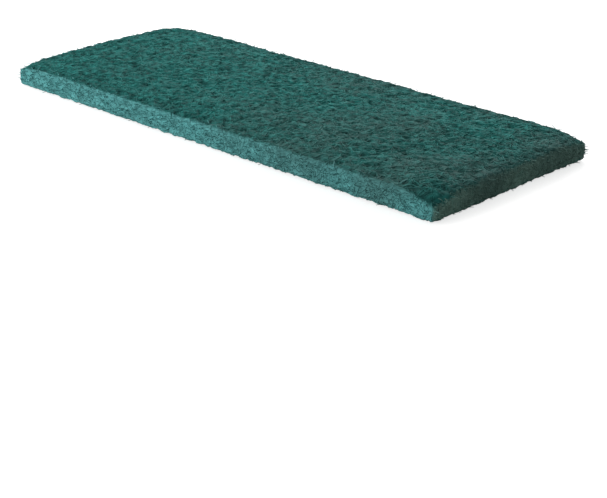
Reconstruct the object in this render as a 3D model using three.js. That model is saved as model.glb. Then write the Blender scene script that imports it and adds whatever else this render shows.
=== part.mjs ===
// Scouring pad: one slab of lofty nonwoven web, crimped fibres bonded with resin and grit,
// die-cut to size from a roll. Millimetres, +Z up. The origin is the middle of the face that
// the pad lies on, +X runs along its length and +Y across its width.
import * as THREE from "three";

// Driving dimensions
const LENGTH = 260;
const WIDTH = 102;
const THICKNESS = 12.5; // through the middle, where the web keeps its full loft
const CORNER_RADIUS = 1.5; // of the cut outline, seen from above

// The die squeezes the web as it cuts, so both faces fall away towards every cut edge.
const TOP_PINCH = 1.4; // how much lower the top face would meet the cut wall
const TOP_PINCH_WIDTH = 24; // how far in from the cut the top starts to fall
const BOTTOM_PINCH = 0.4;
const BOTTOM_PINCH_WIDTH = 14;

// At a corner two cuts squeeze the web at once, and it stays flattened.
const CORNER_DROOP = 3.1; // how much height a sharp corner would lose
const CORNER_DROOP_REACH = 20; // how far along a side the droop fades out

// The blade enters from above and drags the top edge down; the lower edge stays crisper.
const TOP_ROLL_RADIUS = 1.2;
const BOTTOM_ROLL_RADIUS = 0.8;

// A falling face leaves the level where its end tangent, drawn out from the cut, meets it.
// These are the distances of that point from the cut.
const TOP_FALL_REACH = 11;
const BOTTOM_FALL_REACH = 6;

// Facets
const SECTION_STEPS = 7; // along each curve of the edge section
const CORNER_STEPS = 6; // round each corner of the outline
const DROOP_STEPS = 4; // along each side, from a corner to where its droop ends

// Half of the pad's section, from its underside round the cut edge to its top. Across is the
// distance in from the cut, and up is the height: a level face, the fall towards the cut, a
// small roll, the upright cut wall, the larger top roll, and the rise back to the level top.
function edgeSection() {
  const topAtCut = THICKNESS - TOP_PINCH;
  const topFall = TOP_PINCH / TOP_FALL_REACH;
  const bottomFall = BOTTOM_PINCH / BOTTOM_FALL_REACH;
  const section = new THREE.Path();
  section.moveTo(BOTTOM_PINCH_WIDTH, 0);
  section.quadraticCurveTo(
    BOTTOM_FALL_REACH,
    0,
    BOTTOM_ROLL_RADIUS,
    BOTTOM_PINCH - bottomFall * BOTTOM_ROLL_RADIUS,
  );
  section.quadraticCurveTo(0, BOTTOM_PINCH, 0, BOTTOM_PINCH + BOTTOM_ROLL_RADIUS);
  section.lineTo(0, topAtCut - TOP_ROLL_RADIUS);
  section.quadraticCurveTo(0, topAtCut, TOP_ROLL_RADIUS, topAtCut + topFall * TOP_ROLL_RADIUS);
  section.quadraticCurveTo(TOP_FALL_REACH, THICKNESS, TOP_PINCH_WIDTH, THICKNESS);
  return section.getPoints(SECTION_STEPS);
}

// One corner of the die's outline, drawn in by an inset: up the +X side to the corner, round it
// and back along the +Y side. Every inset keeps the corner radius, so a corner draws in further
// than the sides do.
function outlineCorner(inset) {
  const halfLength = LENGTH / 2 - inset;
  const halfWidth = WIDTH / 2 - inset;
  const centre = new THREE.Vector2(halfLength - CORNER_RADIUS, halfWidth - CORNER_RADIUS);

  const distances = [];
  for (let step = 0; step < DROOP_STEPS; step += 1) {
    distances.push(THREE.MathUtils.lerp(CORNER_DROOP_REACH, CORNER_RADIUS, step / DROOP_STEPS));
  }
  const towards = distances.map((away) => new THREE.Vector2(halfLength, halfWidth - away));
  const onwards = distances.map((away) => new THREE.Vector2(halfLength - away, halfWidth));

  const arc = [];
  for (let step = 0; step <= CORNER_STEPS; step += 1) {
    const turn = (Math.PI / 2) * (step / CORNER_STEPS);
    arc.push(new THREE.Vector2(halfLength, centre.y).rotateAround(centre, turn));
  }
  return [...towards, ...arc, ...onwards.reverse()];
}

// The whole outline, run anticlockwise: the corner and its mirror images.
function dieOutline(inset) {
  const corner = outlineCorner(inset);
  const mirrored = (signX, signY) =>
    corner.map((point) => new THREE.Vector2(signX * point.x, signY * point.y));
  return [
    ...mirrored(1, 1),
    ...mirrored(-1, 1).reverse(),
    ...mirrored(-1, -1),
    ...mirrored(1, -1).reverse(),
  ];
}

// The share of its height that the web keeps at a point: all of it, apart from near a corner.
function heightKept(point) {
  const fromCorner = LENGTH / 2 - Math.abs(point.x) + WIDTH / 2 - Math.abs(point.y);
  const nearness = Math.max(0, 1 - fromCorner / CORNER_DROOP_REACH);
  return 1 - (CORNER_DROOP / THICKNESS) * nearness ** 2;
}

// Joins the outlines at all the section's points into one closed skin, with level faces
// inside the first and the last of them.
function loftPad() {
  const section = edgeSection();
  const outlines = section.map((point) => dieOutline(point.x));
  const around = outlines[0].length;
  const positions = [];
  const triangles = [];

  outlines.forEach((outline, ring) => {
    for (const point of outline) {
      positions.push(point.x, point.y, section[ring].y * heightKept(point));
    }
  });

  for (let ring = 0; ring + 1 < section.length; ring += 1) {
    for (let step = 0; step < around; step += 1) {
      const lower = ring * around + step;
      const lowerNext = ring * around + ((step + 1) % around);
      const upper = lower + around;
      const upperNext = lowerNext + around;
      triangles.push(lower, lowerNext, upper);
      triangles.push(lowerNext, upperNext, upper);
    }
  }

  const topStart = (section.length - 1) * around;
  for (const [first, second, third] of THREE.ShapeUtils.triangulateShape(outlines[0], [])) {
    triangles.push(third, second, first);
    triangles.push(topStart + first, topStart + second, topStart + third);
  }

  const geometry = new THREE.BufferGeometry();
  geometry.setAttribute("position", new THREE.Float32BufferAttribute(positions, 3));
  geometry.setIndex(triangles);
  geometry.computeVertexNormals();
  return geometry;
}

function makePad() {
  const bondedWeb = new THREE.MeshStandardMaterial({
    color: 0x2f6b66,
    roughness: 0.9,
    metalness: 0,
  });
  const pad = new THREE.Mesh(loftPad(), bondedWeb);
  pad.name = "pad";
  return pad;
}

const scouringPad = new THREE.Group();
scouringPad.add(makePad());

export default scouringPad;
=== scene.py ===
import math

import bmesh
import bpy
from mathutils import Matrix, Vector


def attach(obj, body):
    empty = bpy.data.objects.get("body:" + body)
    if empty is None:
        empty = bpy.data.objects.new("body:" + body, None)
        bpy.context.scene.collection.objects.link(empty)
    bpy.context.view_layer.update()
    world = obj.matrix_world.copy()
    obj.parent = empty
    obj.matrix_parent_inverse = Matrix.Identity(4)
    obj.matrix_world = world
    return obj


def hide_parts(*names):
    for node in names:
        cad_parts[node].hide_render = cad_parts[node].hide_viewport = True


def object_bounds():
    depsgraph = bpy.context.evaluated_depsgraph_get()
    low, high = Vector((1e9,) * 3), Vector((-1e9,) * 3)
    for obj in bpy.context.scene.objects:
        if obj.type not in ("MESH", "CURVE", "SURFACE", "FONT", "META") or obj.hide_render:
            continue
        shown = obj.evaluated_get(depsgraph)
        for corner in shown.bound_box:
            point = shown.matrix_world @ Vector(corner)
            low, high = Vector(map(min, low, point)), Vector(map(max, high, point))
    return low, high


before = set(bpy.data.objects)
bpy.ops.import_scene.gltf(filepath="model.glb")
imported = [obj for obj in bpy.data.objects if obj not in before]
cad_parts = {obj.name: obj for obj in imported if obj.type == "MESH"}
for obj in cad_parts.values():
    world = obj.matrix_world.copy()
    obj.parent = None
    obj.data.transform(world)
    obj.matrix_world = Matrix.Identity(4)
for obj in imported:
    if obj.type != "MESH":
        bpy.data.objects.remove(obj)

cad_low, cad_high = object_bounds()

# The core of the web
# Crimped nylon fibres are laid as a loose mat, sprayed with resin and grit, and baked into one
# springy web. A die cuts the pad from it. Under its outer fibres the web is a lumpy felt, which
# sinks in between the tufts and springs out a little at the cut walls.
MM = 0.001
CORE_MESH_SIZE = 0.95 * MM
MERGE_DISTANCE = 0.001 * MM
TUFT_WIDTH = 3.5 * MM
TUFT_DEPTH = 0.9 * MM
WALL_RELIEF = 0.3  # the cut walls are flatter than the faces
WALL_SPRING = 0.6 * MM  # the cut web springs out past the die's line
SWAY_WIDTH = 45.0 * MM  # the cut line and the face wander this slowly
SWAY_REACH = 0.25 * MM
FLAT_CORNER = (cad_high.x, cad_low.y, 0.0)  # the front corner has been pressed flatter
FLAT_REACH = 22.0 * MM
FLAT_SHARE = 0.25  # of its height
REST_RISE = (-0.9, -0.3)  # the sway fades out where the web turns down by these shares
NOISE_RANGE = (0.32, 0.68)  # what a noise pattern spans, but for its few extremes

FACE_COLOURS = ("#0d4440", "#38928c")  # dark and light
EDGE_SHADE_COLOUR = "#0e3f3c"  # painted shade: a face is darker along the cut
EDGE_SHADE_WIDTH = 9.0 * MM
EDGE_SHADE_SHARE = 0.5
WALL_COLOURS = ("#508f8f", "#67b2b2")
END_SHADE_COLOURS = ("#6d9186", "#92bbae")  # of the front end: greyer than the walls, a painted colour of the shade it stands in
WALL_LEVELS = (0.86, 0.36)  # a wall's colour starts and is whole where the web turns up by these
RAGGED_REACH = 0.15  # clump by clump, the wall's colour starts this much sooner or later
END_SHADE_TURNS = (0.5, 0.9)  # the front end's painted shade starts and is whole where a wall heads forwards by these
END_SHADE_DELAY = 0.36  # its painted shade starts this much further down the rolled edge than a side's colour
CLUMP_WIDTH = 2.8 * MM
CLUMP_SHARE = 0.7
# painted light: the pad is greyed in patches towards its front end, as the light there makes it look
GREY_LIGHT_COLOUR = "#4a6763"
GREY_LIGHT_WIDTH = 40.0 * MM
GREY_LIGHT_SHARE = 0.55  # at the front end, fading out towards the other end
GREY_LIGHT_SPAN = (0.3, 1.0)  # of the grey patches, below which nothing greys
GRIT_SIZE = 0.35 * MM  # real grit is near 0.05 mm, too fine to show, so it's drawn coarser
GRIT_HEIGHT = 0.1 * MM
GRIT_STRENGTH = 0.3
ROUGHNESS_RANGE = (0.6, 0.95)
SHINE = 0.1


def add(tree, kind, links=None, out=None, **settings):
    """Adds a node with its settings, fills its inputs with values or links, and returns one of its
    outputs: the one that is named, or else the first, if it has any."""
    made = tree.nodes.new(kind)
    for name, value in settings.items():
        setattr(made, name, value)
    for name, value in (links or {}).items():
        if isinstance(name, str):
            socket = next(s for s in made.inputs if s.name == name and s.enabled)
        else:
            socket = made.inputs[name]
        if isinstance(value, bpy.types.NodeSocket):
            tree.links.new(value, socket)
        else:
            socket.default_value = value
    return next((s for s in made.outputs if s.enabled and out in (None, s.name)), None)


def new_tree(name, inputs):
    """Starts a geometry tree with named inputs and returns it with its input node's sockets."""
    tree = bpy.data.node_groups.new(name, "GeometryNodeTree")
    tree.interface.new_socket("Geometry", in_out="INPUT", socket_type="NodeSocketGeometry")
    tree.interface.new_socket("Geometry", in_out="OUTPUT", socket_type="NodeSocketGeometry")
    for label, kind in inputs.items():
        tree.interface.new_socket(label, in_out="INPUT", socket_type="NodeSocket" + kind)
    start = tree.nodes.new("NodeGroupInput")
    return tree, start.outputs


def close_tree(tree, geometry, material):
    """Ends a geometry tree: everything is made real, shaded smooth and given its material."""
    real = add(tree, "GeometryNodeRealizeInstances", {"Geometry": geometry})
    smooth = add(tree, "GeometryNodeSetShadeSmooth", {"Geometry": real})
    painted = add(tree, "GeometryNodeSetMaterial", {"Geometry": smooth, "Material": material})
    add(tree, "NodeGroupOutput", {"Geometry": painted})


def grow(name, tree, start, values):
    """Runs a geometry tree on a start mesh and leaves the result as a plain mesh on the pad."""
    piece = bpy.data.objects.new(name, start)
    bpy.context.collection.objects.link(piece)
    modifier = piece.modifiers.new(name, "NODES")
    modifier.node_group = tree
    for item in tree.interface.items_tree:
        if item.in_out == "INPUT" and item.name in values:
            modifier[item.identifier] = values[item.name]
    graph = bpy.context.evaluated_depsgraph_get()
    made = bpy.data.meshes.new_from_object(piece.evaluated_get(graph))
    piece.modifiers.clear()
    piece.data = made
    made.name = name
    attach(piece, "root")
    return piece


def linear(hex_colour):
    """An sRGB hex colour as the linear colour that a shader reads."""
    parts = [int(hex_colour[place : place + 2], 16) / 255 for place in (1, 3, 5)]
    return [v / 12.92 if v <= 0.04045 else ((v + 0.055) / 1.055) ** 2.4 for v in parts] + [1.0]


def blended(tree, share, first, second):
    """The colour between two colours of a material, hex or linked."""
    sides = [linear(side) if isinstance(side, str) else side for side in (first, second)]
    return add(
        tree, "ShaderNodeMix", {"Factor": share, "A": sides[0], "B": sides[1]}, data_type="RGBA"
    )


def evenly_faced(node, size):
    """A merged copy of a CAD node's mesh, cut into even faces."""
    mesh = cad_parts[node].data.copy()
    shell = bmesh.new()
    shell.from_mesh(mesh)
    bmesh.ops.remove_doubles(shell, verts=shell.verts, dist=MERGE_DISTANCE)
    shell.to_mesh(mesh)
    shell.free()
    blank = bpy.data.objects.new("blank", mesh)
    bpy.context.collection.objects.link(blank)
    remesh = blank.modifiers.new("even faces", "REMESH")
    remesh.mode = "VOXEL"
    remesh.voxel_size = size
    graph = bpy.context.evaluated_depsgraph_get()
    even = bpy.data.meshes.new_from_object(blank.evaluated_get(graph))
    bpy.data.objects.remove(blank)
    return even


def spanned(tree, value, ends, result=(0.0, 1.0)):
    """A value moved from the span between two ends to the span of a result, and kept within it."""
    links = {"Value": value, "From Min": ends[0], "From Max": ends[1]}
    links.update({"To Min": result[0], "To Max": result[1]})
    return add(tree, "ShaderNodeMapRange", links)


def mottle(tree, place, width, detail=1.0):
    """A soft random pattern from 0 to 1 whose patches are about as wide as given."""
    scale = add(tree, "ShaderNodeMath", {0: 1.0, 1: width}, operation="DIVIDE")
    noise = add(tree, "ShaderNodeTexNoise", {"Vector": place, "Scale": scale, "Detail": detail})
    return spanned(tree, noise, NOISE_RANGE)


def past_line(tree, place, line):
    """How far a place is past a line round the pad, given as its distances from the pad's middle."""
    size = add(tree, "ShaderNodeVectorMath", {0: place}, operation="ABSOLUTE")
    beyond = add(tree, "ShaderNodeVectorMath", {0: size, 1: line}, operation="SUBTRACT")
    sides = add(tree, "ShaderNodeSeparateXYZ", {"Vector": beyond}).node.outputs
    return add(tree, "ShaderNodeMath", {0: sides["X"], 1: sides["Y"]}, operation="MAXIMUM")


# Resin-coated nylon: matt and lightly gritty. Each fibre and each clump has a tone of its own, and
# the felt's tone is painted shade that darkens its pits. The cut walls show bare nylon and are paler
# than the faces, which have painted shade along the cut. Towards the front end the green is painted
# greyer as light, in patches on the faces, and the front end is painted greyer all over as shade.
nylon = bpy.data.materials.new("resin-coated nylon")
nylon.use_nodes = True
nodes = nylon.node_tree
shader = nodes.nodes["Principled BSDF"]
place = add(nodes, "ShaderNodeTexCoord", out="Object")
facing = add(nodes, "ShaderNodeAttribute", attribute_name="facing", out="Vector")
level_part = add(nodes, "ShaderNodeVectorMath", {0: facing, 1: (1, 1, 0)}, operation="MULTIPLY")
heading = add(nodes, "ShaderNodeVectorMath", {0: level_part}, operation="NORMALIZE")
forwards = add(nodes, "ShaderNodeSeparateXYZ", {"Vector": heading}, out="X")
# painted shade: the front end gets a greyer colour, for the shade it stands in
front_end_shade = spanned(nodes, forwards, END_SHADE_TURNS)
rise = add(nodes, "ShaderNodeSeparateXYZ", {"Vector": facing}, out="Z")
level = add(nodes, "ShaderNodeMath", {0: rise}, operation="ABSOLUTE")
clump_tone = mottle(nodes, place, CLUMP_WIDTH)
ragged_by = spanned(nodes, clump_tone, (0.0, 1.0), (-RAGGED_REACH, RAGGED_REACH))
ragged = add(nodes, "ShaderNodeMath", {0: level, 1: ragged_by}, operation="ADD")
delayed = add(nodes, "ShaderNodeMath", {0: front_end_shade, 1: END_SHADE_DELAY, 2: ragged}, operation="MULTIPLY_ADD")
wall = spanned(nodes, delayed, WALL_LEVELS)
# painted shade: the faces are darker along the cut
edge_shade = spanned(
    nodes, past_line(nodes, place, cad_high), (-EDGE_SHADE_WIDTH, 0.0), (0.0, EDGE_SHADE_SHARE)
)
tones = []
for face_tone, wall_tone, end_shade_tone in zip(FACE_COLOURS, WALL_COLOURS, END_SHADE_COLOURS):
    face_colour_with_edge_shade = blended(nodes, edge_shade, face_tone, EDGE_SHADE_COLOUR)
    wall_and_end_shade_colour = blended(nodes, front_end_shade, wall_tone, end_shade_tone)
    tones.append(blended(nodes, wall, face_colour_with_edge_shade, wall_and_end_shade_colour))
# a fibre's own tone, and on the felt painted shade in its pits
own_tone_and_pit_shade = add(nodes, "ShaderNodeAttribute", attribute_name="tone", out="Fac")
tone = add(nodes, "ShaderNodeMix", {"Factor": CLUMP_SHARE, "A": own_tone_and_pit_shade, "B": clump_tone})
# painted light: greyer in patches towards the front end
grey_light_patches = spanned(nodes, mottle(nodes, place, GREY_LIGHT_WIDTH), GREY_LIGHT_SPAN)
lengthwise = add(nodes, "ShaderNodeSeparateXYZ", {"Vector": place}, out="X")
grey_light_drift = spanned(nodes, lengthwise, (cad_low.x, cad_high.x), (0.0, GREY_LIGHT_SHARE))
grey_light = add(nodes, "ShaderNodeMath", {0: grey_light_patches, 1: grey_light_drift}, operation="MULTIPLY")
colour = blended(nodes, grey_light, blended(nodes, tone, *tones), GREY_LIGHT_COLOUR)
nodes.links.new(colour, shader.inputs["Base Color"])
grit = mottle(nodes, place, GRIT_SIZE)
nodes.links.new(spanned(nodes, grit, (0.0, 1.0), ROUGHNESS_RANGE), shader.inputs["Roughness"])
bump = add(
    nodes, "ShaderNodeBump", {"Height": grit, "Strength": GRIT_STRENGTH, "Distance": GRIT_HEIGHT}
)
nodes.links.new(bump, shader.inputs["Normal"])
shader.inputs["Specular IOR Level"].default_value = SHINE

felted, given = new_tree(
    "felted core",
    {
        "Tuft width": "Float",
        "Tuft depth": "Float",
        "Wall relief": "Float",
        "Wall spring": "Float",
        "Sway width": "Float",
        "Sway reach": "Float",
        "Flat corner": "Vector",
        "Flat reach": "Float",
        "Flat share": "Float",
        "Material": "Material",
    },
)
place = add(felted, "GeometryNodeInputPosition")

# what is near the flat corner loses some of its height
from_corner = add(
    felted, "ShaderNodeVectorMath", {0: place, 1: given["Flat corner"]}, operation="SUBTRACT"
)
apart = add(felted, "ShaderNodeVectorMath", {0: from_corner}, operation="ABSOLUTE")
away = add(felted, "ShaderNodeVectorMath", {0: apart, 1: (1, 1, 0)}, operation="DOT_PRODUCT")
near = spanned(felted, away, (given["Flat reach"], 0.0))
bowed = add(felted, "ShaderNodeMath", {0: near, 1: near}, operation="MULTIPLY")
lost = add(felted, "ShaderNodeMath", {0: bowed, 1: given["Flat share"]}, operation="MULTIPLY")
height = add(felted, "ShaderNodeSeparateXYZ", {"Vector": place}, out="Z")
down = add(felted, "ShaderNodeMath", {0: height, 1: lost}, operation="MULTIPLY")
sunken = add(felted, "ShaderNodeCombineXYZ", {"Z": down})
lowered = add(felted, "ShaderNodeVectorMath", {0: place, 1: sunken}, operation="SUBTRACT")
flattened = add(
    felted, "GeometryNodeSetPosition", {"Geometry": given["Geometry"], "Position": lowered}
)

# the felt is lumpy, and its walls spring out
outward = add(felted, "GeometryNodeInputNormal")
rise = add(felted, "ShaderNodeSeparateXYZ", {"Vector": outward}, out="Z")
level = add(felted, "ShaderNodeMath", {0: rise}, operation="ABSOLUTE")
tuft = mottle(felted, place, given["Tuft width"])
sunk = add(felted, "ShaderNodeMath", {0: tuft, 1: 1.0}, operation="SUBTRACT")
kept_relief = spanned(felted, level, (0.0, 1.0), (given["Wall relief"], 1.0))
relief = add(felted, "ShaderNodeMath", {0: sunk, 1: kept_relief}, operation="MULTIPLY")

# the sway leaves the underside alone, where the pad rests
sway = spanned(felted, mottle(felted, place, given["Sway width"], 0.0), (0.0, 1.0), (-1.0, 1.0))
kept_sway = spanned(felted, rise, REST_RISE, (0.0, given["Sway reach"]))
swayed = add(felted, "ShaderNodeMath", {0: sway, 1: kept_sway}, operation="MULTIPLY")
sprung = spanned(felted, level, (0.0, 1.0), (given["Wall spring"], 0.0))
moved = add(felted, "ShaderNodeMath", {0: swayed, 1: sprung}, operation="ADD")
outward_by = add(
    felted, "ShaderNodeMath", {0: relief, 1: given["Tuft depth"], 2: moved}, operation="MULTIPLY_ADD"
)

# the felt's tone follows its tufts, so its pits are painted darker, as shade
marked = flattened
for label, value, kind in (("facing", outward, "FLOAT_VECTOR"), ("tone", tuft, "FLOAT")):
    marked = add(
        felted,
        "GeometryNodeStoreNamedAttribute",
        {"Geometry": marked, "Name": label, "Value": value},
        data_type=kind,
        domain="POINT",
    )
offset = add(felted, "ShaderNodeVectorMath", {0: outward, "Scale": outward_by}, operation="SCALE")
lumpy = add(felted, "GeometryNodeSetPosition", {"Geometry": marked, "Offset": offset})
close_tree(felted, lumpy, given["Material"])

core = grow(
    "web_core",
    felted,
    evenly_faced("pad", CORE_MESH_SIZE),
    {
        "Tuft width": TUFT_WIDTH,
        "Tuft depth": TUFT_DEPTH,
        "Wall relief": WALL_RELIEF,
        "Wall spring": WALL_SPRING,
        "Sway width": SWAY_WIDTH,
        "Sway reach": SWAY_REACH,
        "Flat corner": FLAT_CORNER,
        "Flat reach": FLAT_REACH,
        "Flat share": FLAT_SHARE,
        "Material": nylon,
    },
)
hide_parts("pad")

# The fibres of the two faces
# Crimped nylon fibres that lie in all directions along the top and the underside, dip under
# each other and come up again, and end where the die cut them. Resin with grit in it coats and
# bonds them, which draws short stretches together into thicker strands under single hairs.
STRANDS = 3900  # on each face
STRAND_POINTS = 8
STRAND_DIAMETER = 0.85 * MM  # real ones are near 0.4 mm, drawn thicker to show
STRAND_LENGTH = 9.0 * MM
STRAND_LENGTH_SPREAD = 4.0 * MM
STRAND_LIFT = -0.2 * MM  # they are half sunk in the felt
STRAND_TONES = (0.0, 0.7)
HAIRS = 3000
HAIR_POINTS = 9
HAIR_DIAMETER = 0.5 * MM  # a real one is near 0.1 mm, too fine to show, so it's drawn thicker
HAIR_LENGTH = 12.0 * MM
HAIR_LENGTH_SPREAD = 4.0 * MM
HAIR_LIFT = 0.0
HAIR_TONES = (0.6, 1.2)
CURL_WIDTH = 7.0 * MM
CURL_REACH = 4.5 * MM
WEAVE_WIDTH = 5.0 * MM
WEAVE_DEPTH = 0.3 * MM
TOP_TRIM = 0.0  # how far inside the pad's outline the lying fibres end
UNDERSIDE_TRIM = 1.6 * MM
FACE_LIMIT = 0.6  # a face, not a wall, turns up or down by more than this share
WHOLLY = 1.1  # past the most that anything turns up or down
FAR = 1.0  # past the pad on every side
TIP_SHARE = 0.55  # of a fibre's thickness that is left at its ends
UV_MARGIN = 0.1  # of the square that a fibre has on the UV map
SEED_STEP = 100.0  # between the seeds of one growth's random values
CRIMP_STEP = 7.31  # from one fibre's noise to the next one's


def attribute(tree, name, kind="FLOAT"):
    """A field that reads an attribute of the mesh or of the fibres' points."""
    return add(tree, "GeometryNodeInputNamedAttribute", {"Name": name}, data_type=kind)


def chance(tree, fibre, seed, low, high, kind="FLOAT"):
    """A random value for each fibre."""
    return add(
        tree,
        "FunctionNodeRandomValue",
        {"Min": low, "Max": high, "ID": fibre, "Seed": seed},
        data_type=kind,
    )


def scatter(tree, given, seed_count):
    """Sets roots on the faces of the core that turn up by a share between two limits, numbers
    them and gives each a tone. Every root becomes a row of points, to be laid out as a fibre.
    Returns those points, their step in the row, the number of roots, and seeds for later."""
    seeds = [
        add(tree, "ShaderNodeMath", {0: given["Seed"], 1: SEED_STEP * turn}, operation="ADD")
        for turn in range(1, seed_count + 2)
    ]
    facing = attribute(tree, "facing", "FLOAT_VECTOR")
    rise = add(tree, "ShaderNodeSeparateXYZ", {"Vector": facing}, out="Z")
    over = add(tree, "ShaderNodeMath", {0: rise, 1: given["Rise from"]}, operation="GREATER_THAN")
    under = add(tree, "ShaderNodeMath", {0: rise, 1: given["Rise to"]}, operation="LESS_THAN")
    between = add(tree, "ShaderNodeMath", {0: over, 1: under}, operation="MULTIPLY")
    roots = add(
        tree,
        "GeometryNodeDistributePointsOnFaces",
        {
            "Mesh": given["Geometry"],
            "Selection": between,
            "Density": given["Density"],
            "Seed": given["Seed"],
        },
        distribute_method="RANDOM",
    )
    number = add(tree, "GeometryNodeInputIndex")
    tone = chance(tree, number, seeds[0], given["Tone from"], given["Tone to"])
    marked = roots
    for label, value in (("fibre", number), ("tone", tone)):
        marked = add(
            tree,
            "GeometryNodeStoreNamedAttribute",
            {"Geometry": marked, "Name": label, "Value": value},
            data_type="FLOAT",
            domain="POINT",
        )
    points = add(
        tree,
        "GeometryNodeDuplicateElements",
        {"Geometry": marked, "Amount": given["Points"]},
        domain="POINT",
    )
    count = add(
        tree,
        "GeometryNodeAttributeDomainSize",
        {"Geometry": roots},
        component="POINTCLOUD",
        out="Point Count",
    )
    return points, points.node.outputs["Duplicate Index"], count, seeds[1:]


def strands(tree, given, points, step, count):
    """Joins each fibre's points into a closed three-sided strand that thins at its ends, with a
    UV map on which every fibre has a square of its own. A point that is left alone isn't drawn."""
    fibre = attribute(tree, "fibre")
    curves = add(
        tree,
        "GeometryNodePointsToCurves",
        {"Points": points, "Curve Group ID": fibre, "Weight": step},
    )
    left = add(tree, "GeometryNodeSplineLength", out="Point Count")
    lone = add(tree, "ShaderNodeMath", {0: left, 1: 2.0}, operation="LESS_THAN")
    drawn = add(
        tree, "GeometryNodeDeleteGeometry", {"Geometry": curves, "Selection": lone}, domain="CURVE"
    )
    factor = add(tree, "GeometryNodeSplineParameter", out="Factor")
    half_turn = add(tree, "ShaderNodeMath", {0: factor, 1: math.pi}, operation="MULTIPLY")
    arch = add(tree, "ShaderNodeMath", {0: half_turn}, operation="SINE")
    taper = spanned(tree, arch, (0.0, 1.0), (TIP_SHARE, 1.0))
    thinned = add(tree, "GeometryNodeSetCurveRadius", {"Curve": drawn, "Radius": taper})
    radius = add(tree, "ShaderNodeMath", {0: given["Diameter"], 1: 0.5}, operation="MULTIPLY")
    section = add(tree, "GeometryNodeCurvePrimitiveCircle", {"Resolution": 3, "Radius": radius})
    lines = []
    for line, label in ((thinned, "along"), (section, "around")):
        lines.append(
            add(
                tree,
                "GeometryNodeStoreNamedAttribute",
                {"Geometry": line, "Name": label, "Value": factor},
                data_type="FLOAT",
                domain="POINT",
            )
        )
    tubes = add(
        tree,
        "GeometryNodeCurveToMesh",
        {"Curve": lines[0], "Profile Curve": lines[1], "Fill Caps": True},
    )
    root = add(tree, "ShaderNodeMath", {0: count}, operation="SQRT")
    across = add(tree, "ShaderNodeMath", {0: root}, operation="CEIL")
    column = add(tree, "ShaderNodeMath", {0: fibre, 1: across}, operation="MODULO")
    row = add(tree, "ShaderNodeMath", {0: fibre, 1: across}, operation="DIVIDE")
    row = add(tree, "ShaderNodeMath", {0: row}, operation="FLOOR")
    sides = []
    for start, label in ((column, "along"), (row, "around")):
        within = spanned(tree, attribute(tree, label), (0.0, 1.0), (UV_MARGIN, 1.0 - UV_MARGIN))
        moved = add(tree, "ShaderNodeMath", {0: start, 1: within}, operation="ADD")
        sides.append(add(tree, "ShaderNodeMath", {0: moved, 1: across}, operation="DIVIDE"))
    flat = add(tree, "ShaderNodeCombineXYZ", {"X": sides[0], "Y": sides[1]})
    return add(
        tree,
        "GeometryNodeStoreNamedAttribute",
        {"Geometry": tubes, "Name": "OFBake", "Value": flat},
        data_type="FLOAT2",
        domain="CORNER",
    )


def above_floor(tree, given, place):
    """A fibre's place, no lower than where it would lie on the floor."""
    radius = add(tree, "ShaderNodeMath", {0: given["Diameter"], 1: 0.5}, operation="MULTIPLY")
    limit = add(tree, "ShaderNodeCombineXYZ", {"X": -FAR, "Y": -FAR, "Z": radius})
    return add(tree, "ShaderNodeVectorMath", {0: place, 1: limit}, operation="MAXIMUM")


lying, given = new_tree(
    "lying fibres",
    {
        "Rise from": "Float",
        "Rise to": "Float",
        "Tone from": "Float",
        "Tone to": "Float",
        "Density": "Float",
        "Points": "Int",
        "Diameter": "Float",
        "Length": "Float",
        "Length spread": "Float",
        "Curl width": "Float",
        "Curl reach": "Float",
        "Weave width": "Float",
        "Weave depth": "Float",
        "Lift": "Float",
        "Cut": "Vector",
        "Seed": "Int",
        "Material": "Material",
    },
)
points, step, count, seeds = scatter(lying, given, 2)
fibre = attribute(lying, "fibre")
facing = attribute(lying, "facing", "FLOAT_VECTOR")

# a straight line through the root, along the surface
aim = chance(lying, fibre, seeds[0], (-1, -1, -1), (1, 1, 1), "FLOAT_VECTOR")
across = add(lying, "ShaderNodeVectorMath", {0: facing, 1: aim}, operation="CROSS_PRODUCT")
along = add(lying, "ShaderNodeVectorMath", {0: across}, operation="NORMALIZE")
spread = chance(lying, fibre, seeds[1], -1.0, 1.0)
length = add(
    lying,
    "ShaderNodeMath",
    {0: spread, 1: given["Length spread"], 2: given["Length"]},
    operation="MULTIPLY_ADD",
)
last = add(lying, "ShaderNodeMath", {0: given["Points"], 1: 1.0}, operation="SUBTRACT")
share = add(lying, "ShaderNodeMath", {0: step, 1: last}, operation="DIVIDE")
centred = add(lying, "ShaderNodeMath", {0: share, 1: 0.5}, operation="SUBTRACT")
run = add(lying, "ShaderNodeMath", {0: centred, 1: length}, operation="MULTIPLY")
straight = add(lying, "ShaderNodeVectorMath", {0: along, "Scale": run}, operation="SCALE")
place = add(lying, "GeometryNodeInputPosition")
on_line = add(lying, "ShaderNodeVectorMath", {0: place, 1: straight}, operation="ADD")

# its crimp, which is each fibre's own
own_turn = add(lying, "ShaderNodeMath", {0: fibre, 1: CRIMP_STEP}, operation="MULTIPLY")
wander = {}
for label, output in (("Curl", "Color"), ("Weave", "Fac")):
    scale = add(lying, "ShaderNodeMath", {0: 1.0, 1: given[label + " width"]}, operation="DIVIDE")
    wander[label] = add(
        lying,
        "ShaderNodeTexNoise",
        {"Vector": on_line, "W": own_turn, "Scale": scale, "Detail": 0.0},
        noise_dimensions="4D",
        out=output,
    )
swing = add(
    lying,
    "ShaderNodeVectorMath",
    {0: wander["Curl"], 1: (2, 2, 2), 2: (-1, -1, -1)},  # from 0 to 1, to -1 to 1
    operation="MULTIPLY_ADD",
)
curl = add(
    lying, "ShaderNodeVectorMath", {0: swing, "Scale": given["Curl reach"]}, operation="SCALE"
)
curled = add(lying, "ShaderNodeVectorMath", {0: on_line, 1: curl}, operation="ADD")
laid = add(lying, "GeometryNodeSetPosition", {"Geometry": points, "Position": curled})

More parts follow.
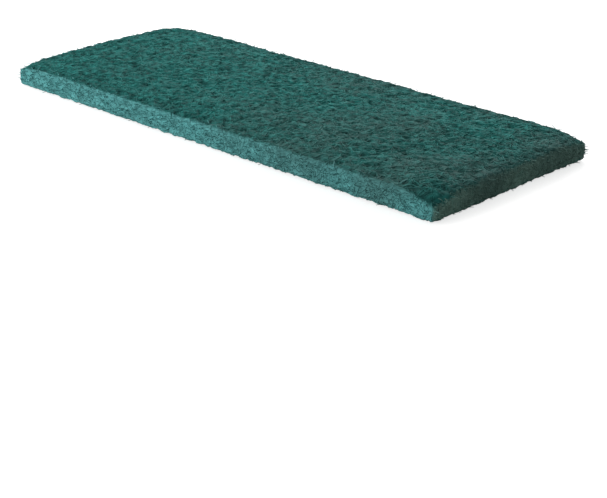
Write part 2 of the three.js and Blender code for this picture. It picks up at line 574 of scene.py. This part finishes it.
# what reaches past the cut is trimmed off
place = add(lying, "GeometryNodeInputPosition")
past_cut = past_line(lying, place, given["Cut"])
outside = add(lying, "ShaderNodeMath", {0: past_cut, 1: 0.0}, operation="GREATER_THAN")
trimmed = add(
    lying, "GeometryNodeDeleteGeometry", {"Geometry": laid, "Selection": outside}, domain="POINT"
)

# every point comes down to the core and dips in and out of it
surface = {
    label: add(
        lying,
        "GeometryNodeSampleNearestSurface",
        {"Mesh": given["Geometry"], "Value": value},
        data_type="FLOAT_VECTOR",
    )
    for label, value in (("place", place), ("facing", facing))
}
dip = spanned(lying, wander["Weave"], (0.0, 1.0), (-1.0, 1.0))
height = add(
    lying,
    "ShaderNodeMath",
    {0: dip, 1: given["Weave depth"], 2: given["Lift"]},
    operation="MULTIPLY_ADD",
)
raised = add(
    lying, "ShaderNodeVectorMath", {0: surface["facing"], "Scale": height}, operation="SCALE"
)
resting = add(lying, "ShaderNodeVectorMath", {0: surface["place"], 1: raised}, operation="ADD")
woven = add(
    lying,
    "GeometryNodeSetPosition",
    {"Geometry": trimmed, "Position": above_floor(lying, given, resting)},
)
close_tree(lying, strands(lying, given, woven, step, count), given["Material"])

pad_size = cad_high - cad_low
face_area = pad_size.x * pad_size.y


def inside_cut(trim):
    """How far from the pad's middle its fibres reach, to each side, when cut this far inside it."""
    return pad_size.x / 2 - trim, pad_size.y / 2 - trim, pad_size.z


shared_sizes = {
    "Curl width": CURL_WIDTH,
    "Curl reach": CURL_REACH,
    "Weave width": WEAVE_WIDTH,
    "Weave depth": WEAVE_DEPTH,
    "Cut": inside_cut(TOP_TRIM),
    "Material": nylon,
}
strand_sizes = {
    **shared_sizes,
    "Tone from": STRAND_TONES[0],
    "Tone to": STRAND_TONES[1],
    "Density": STRANDS / face_area,
    "Points": STRAND_POINTS,
    "Diameter": STRAND_DIAMETER,
    "Length": STRAND_LENGTH,
    "Length spread": STRAND_LENGTH_SPREAD,
    "Lift": STRAND_LIFT,
}
hair_sizes = {
    **shared_sizes,
    "Tone from": HAIR_TONES[0],
    "Tone to": HAIR_TONES[1],
    "Density": HAIRS / face_area,
    "Points": HAIR_POINTS,
    "Diameter": HAIR_DIAMETER,
    "Length": HAIR_LENGTH,
    "Length spread": HAIR_LENGTH_SPREAD,
    "Lift": HAIR_LIFT,
}
upward = {"Rise from": FACE_LIMIT, "Rise to": WHOLLY}
downward = {"Rise from": -WHOLLY, "Rise to": -FACE_LIMIT}
grow("top_strands", lying, core.data, {**strand_sizes, **upward, "Seed": 11})
grow("top_hairs", lying, core.data, {**hair_sizes, **upward, "Seed": 12})
grow(
    "underside_strands",
    lying,
    core.data,
    {**strand_sizes, **downward, "Cut": inside_cut(UNDERSIDE_TRIM), "Seed": 13},
)

# The fibres of the cut walls
# Where the die went through, cut ends and fine hairs come out of the wall, most of them close
# to it, over crimped nylon that lies along it. Resin bonds it all, but less of it is left on a
# fresh cut, so a wall is paler than a face.
WALL_STRANDS = 3600
WALL_STRAND_POINTS = 6
WALL_STRAND_DIAMETER = 0.5 * MM
WALL_STRAND_LENGTH = 4.0 * MM
WALL_STRAND_LENGTH_SPREAD = 1.5 * MM
WALL_STRAND_LIFT = 0.0
WALL_CURL_REACH = 1.5 * MM
WALL_WEAVE_DEPTH = 0.2 * MM
CUT_ENDS = 1500
CUT_END_POINTS = 3
CUT_END_DIAMETER = 0.8 * MM
CUT_ROOT = 0.6 * MM  # how deep a cut end or hair starts in the wall
CUT_END_REACH = 0.3 * MM
CUT_LEAN = 2.2  # along the wall, for one part straight out of it
CUT_END_BEND = 0.2 * MM
CUT_RISE = (-0.3, 0.7)  # they stand where the web turns up by a share between these
SWERVE_LOW = (-1.0, -1.0, -0.1)  # they swerve along the wall, or a little upwards
SWERVE_HIGH = (1.0, 1.0, 0.2)
FEW_LONG = 1.7  # most ends are short: how far one reaches goes by this power of chance
WALL_HAIRS = 10000
WALL_HAIR_POINTS = 3
WALL_HAIR_DIAMETER = 0.28 * MM  # real ones are near 0.1 mm, drawn thicker to show
WALL_HAIR_REACH = 2.5 * MM
WALL_HAIR_BEND = 0.6 * MM
WALL_HAIR_RISE = (-0.1, 0.3)
WALL_TONES = (0.4, 0.9)
wall_area = 2 * (pad_size.x + pad_size.y) * pad_size.z

grow(
    "wall_strands",
    lying,
    core.data,
    {
        **shared_sizes,
        "Rise from": -FACE_LIMIT,
        "Rise to": FACE_LIMIT,
        "Tone from": WALL_TONES[0],
        "Tone to": WALL_TONES[1],
        "Density": WALL_STRANDS / wall_area,
        "Points": WALL_STRAND_POINTS,
        "Diameter": WALL_STRAND_DIAMETER,
        "Length": WALL_STRAND_LENGTH,
        "Length spread": WALL_STRAND_LENGTH_SPREAD,
        "Curl reach": WALL_CURL_REACH,
        "Weave depth": WALL_WEAVE_DEPTH,
        "Lift": WALL_STRAND_LIFT,
        "Cut": (FAR, FAR, FAR),
        "Seed": 25,
    },
)

ends, given = new_tree(
    "cut ends",
    {
        "Rise from": "Float",
        "Rise to": "Float",
        "Tone from": "Float",
        "Tone to": "Float",
        "Density": "Float",
        "Points": "Int",
        "Diameter": "Float",
        "Root": "Float",
        "Reach": "Float",
        "Lean": "Float",
        "Bend": "Float",
        "Seed": "Int",
        "Material": "Material",
    },
)
points, step, count, seeds = scatter(ends, given, 3)
fibre = attribute(ends, "fibre")
swerves = [chance(ends, fibre, seed, SWERVE_LOW, SWERVE_HIGH, "FLOAT_VECTOR") for seed in seeds[:2]]
leaning = add(
    ends, "ShaderNodeVectorMath", {0: swerves[0], "Scale": given["Lean"]}, operation="SCALE"
)
facing = attribute(ends, "facing", "FLOAT_VECTOR")
aim = add(ends, "ShaderNodeVectorMath", {0: facing, 1: leaning}, operation="ADD")
aim = add(ends, "ShaderNodeVectorMath", {0: aim}, operation="NORMALIZE")
luck = chance(ends, fibre, seeds[2], 0.0, 1.0)
few_long = add(ends, "ShaderNodeMath", {0: luck, 1: FEW_LONG}, operation="POWER")
whole = add(
    ends,
    "ShaderNodeMath",
    {0: few_long, 1: given["Reach"], 2: given["Root"]},
    operation="MULTIPLY_ADD",
)
last = add(ends, "ShaderNodeMath", {0: given["Points"], 1: 1.0}, operation="SUBTRACT")
share = add(ends, "ShaderNodeMath", {0: step, 1: last}, operation="DIVIDE")
from_root = add(ends, "ShaderNodeMath", {0: share, 1: whole}, operation="MULTIPLY")
out_by = add(ends, "ShaderNodeMath", {0: from_root, 1: given["Root"]}, operation="SUBTRACT")
straight = add(ends, "ShaderNodeVectorMath", {0: aim, "Scale": out_by}, operation="SCALE")
squared = add(ends, "ShaderNodeMath", {0: share, 1: share}, operation="MULTIPLY")
bent_by = add(ends, "ShaderNodeMath", {0: squared, 1: given["Bend"]}, operation="MULTIPLY")
bend = add(ends, "ShaderNodeVectorMath", {0: swerves[1], "Scale": bent_by}, operation="SCALE")
offset = add(ends, "ShaderNodeVectorMath", {0: straight, 1: bend}, operation="ADD")
place = add(ends, "GeometryNodeInputPosition")
reached = add(ends, "ShaderNodeVectorMath", {0: place, 1: offset}, operation="ADD")
standing = add(
    ends,
    "GeometryNodeSetPosition",
    {"Geometry": points, "Position": above_floor(ends, given, reached)},
)
close_tree(ends, strands(ends, given, standing, step, count), given["Material"])
end_sizes = {
    "Tone from": WALL_TONES[0],
    "Tone to": WALL_TONES[1],
    "Root": CUT_ROOT,
    "Lean": CUT_LEAN,
    "Material": nylon,
}
grow(
    "cut_ends",
    ends,
    core.data,
    {
        **end_sizes,
        "Rise from": CUT_RISE[0],
        "Rise to": CUT_RISE[1],
        "Density": CUT_ENDS / wall_area,
        "Points": CUT_END_POINTS,
        "Diameter": CUT_END_DIAMETER,
        "Reach": CUT_END_REACH,
        "Bend": CUT_END_BEND,
        "Seed": 22,
    },
)
grow(
    "wall_hairs",
    ends,
    core.data,
    {
        **end_sizes,
        "Rise from": WALL_HAIR_RISE[0],
        "Rise to": WALL_HAIR_RISE[1],
        "Density": WALL_HAIRS / wall_area,
        "Points": WALL_HAIR_POINTS,
        "Diameter": WALL_HAIR_DIAMETER,
        "Reach": WALL_HAIR_REACH,
        "Bend": WALL_HAIR_BEND,
        "Seed": 23,
    },
)

# The floor
# A plain pale sweep. The camera sees it white, apart from the pad's soft shadow, and it throws
# back only a little light.
FLOOR_HALF = 2.0  # metres, from its middle to a side
PAPER_COLOUR = "#f4f4f4"
PAPER_THROWN_BACK = "#9a9a9a"
PAPER_GLOW = 0.7
WHITE = "#ffffff"


def seen_plainly(tree):
    """1 for a ray that shows the background: straight, in a reflection or through something clear."""
    path = add(tree, "ShaderNodeLightPath").node.outputs
    either = add(
        tree,
        "ShaderNodeMath",
        {0: path["Is Camera Ray"], 1: path["Is Glossy Ray"]},
        operation="MAXIMUM",
    )
    return add(
        tree, "ShaderNodeMath", {0: either, 1: path["Is Transmission Ray"]}, operation="MAXIMUM"
    )


floor_mesh = bpy.data.meshes.new("floor")
corners = [(-1, -1), (1, -1), (1, 1), (-1, 1)]
floor_mesh.from_pydata([(FLOOR_HALF * x, FLOOR_HALF * y, 0.0) for x, y in corners], [], [range(4)])
floor = bpy.data.objects.new("floor", floor_mesh)
bpy.context.collection.objects.link(floor)
sweep = bpy.data.materials.new("white paper sweep")
sweep.use_nodes = True
nodes = sweep.node_tree
nodes.nodes.remove(nodes.nodes["Principled BSDF"])
seen = seen_plainly(nodes)
paper = blended(nodes, seen, PAPER_THROWN_BACK, PAPER_COLOUR)
matt = add(nodes, "ShaderNodeBsdfDiffuse", {"Color": paper})
glow = add(nodes, "ShaderNodeMath", {0: seen, 1: PAPER_GLOW}, operation="MULTIPLY")
lit = add(nodes, "ShaderNodeEmission", {"Color": linear(WHITE), "Strength": glow})
both = add(nodes, "ShaderNodeAddShader", {0: matt, 1: lit})
nodes.links.new(both, nodes.nodes["Material Output"].inputs["Surface"])
floor_mesh.materials.append(sweep)

# The light
# A wide, low softbox in front of the long side lights that wall. One behind the pad and above
# it lights the top across the fibres, so that they show. The front end stays in shade.
ROOM_LEVEL = 0.26
KEY_PLACE = (-0.35, -0.6, 0.12)
KEY_SIZE = (0.8, 0.3)
KEY_POWER = 4.75
TOP_PLACE = (-0.28, 0.55, 0.45)
TOP_SIZE = (0.6, 0.6)
TOP_POWER = 4.05
world = bpy.data.worlds.new("studio")
bpy.context.scene.world = world
world.use_nodes = True
nodes = world.node_tree
level = spanned(nodes, seen_plainly(nodes), (0.0, 1.0), (ROOM_LEVEL, 1.0))
nodes.links.new(level, nodes.nodes["Background"].inputs["Strength"])
nodes.nodes["Background"].inputs["Color"].default_value = linear(WHITE)


def softbox(name, place, size, power):
    """A soft light, wide and high as given, that faces the pad."""
    light = bpy.data.lights.new(name, "AREA")
    light.shape = "RECTANGLE"
    light.size, light.size_y = size
    light.energy = power
    lamp = bpy.data.objects.new(name, light)
    lamp.location = place
    lamp.rotation_euler = (-Vector(place)).to_track_quat("-Z", "Y").to_euler()
    bpy.context.collection.objects.link(lamp)


softbox("key softbox", KEY_PLACE, KEY_SIZE, KEY_POWER)
softbox("top softbox", TOP_PLACE, TOP_SIZE, TOP_POWER)

# The camera
# It looks down on the pad's front corner, with its long side to the left, as the photograph does.
PHOTO_WIDTH = 607
FOCAL_PIXELS = 1658
CAMERA_TURN = 43.47
CAMERA_RISE = 22.87
CAMERA_ROLL = 0.26
CAMERA_PLACE = (8.7 * MM, -58.9 * MM, 760.2 * MM)  # along its own right, up and back
turn, rise, roll = (math.radians(angle) for angle in (CAMERA_TURN, CAMERA_RISE, CAMERA_ROLL))
back = Vector((math.sin(turn) * math.cos(rise), -math.cos(turn) * math.cos(rise), math.sin(rise)))
right = Vector((math.cos(turn), math.sin(turn), 0))
axes = Matrix((right, back.cross(right), back)).transposed() @ Matrix.Rotation(roll, 3, "Z")
camera_data = bpy.data.cameras.new("camera")
camera_data.sensor_fit = "HORIZONTAL"
camera_data.lens = FOCAL_PIXELS / PHOTO_WIDTH * camera_data.sensor_width
camera = bpy.data.objects.new("camera", camera_data)
camera.matrix_world = Matrix.Translation(axes @ Vector(CAMERA_PLACE)) @ axes.to_4x4()
bpy.context.collection.objects.link(camera)
bpy.context.scene.camera = camera
bpy.context.scene.view_settings.view_transform = "Standard"
